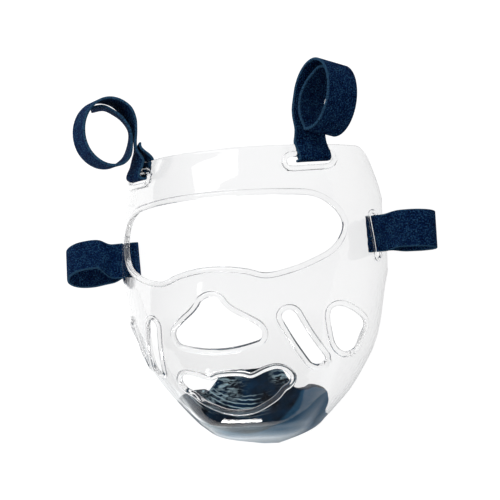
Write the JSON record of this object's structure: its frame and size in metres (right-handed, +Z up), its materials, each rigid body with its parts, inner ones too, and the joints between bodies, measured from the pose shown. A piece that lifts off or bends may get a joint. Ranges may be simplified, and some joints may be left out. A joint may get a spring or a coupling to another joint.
{
  "type": "face shield headgear",
  "caption": "Clear moulded face shield that straps to a padded sparring helmet, with eye, nose, mouth and cheek openings and a soft chin pad.",
  "frame": {"origin": "on the surface that the shell's rear rim rests on, under the middle of the whole shield's box", "axes": "+X to the right of a viewer who faces the front of the shield, +Y from the chin to the forehead, +Z up from the rear rim to the front"},
  "size_m": [0.2734, 0.2596, 0.1003],
  "materials": {
    "clear_shell": "clear polished polycarbonate",
    "pad_vinyl": "dark navy glossy vinyl-dipped foam",
    "strap_webbing": "dark navy loop-pile hook-and-loop webbing"
  },
  "bodies": {
    "root": {"shield_shell": "clear_shell", "chin_pad": "pad_vinyl", "top_strap_left": "strap_webbing", "top_strap_right": "strap_webbing", "side_strap_left": "strap_webbing", "side_strap_right": "strap_webbing"}
  },
  "joints": []
}
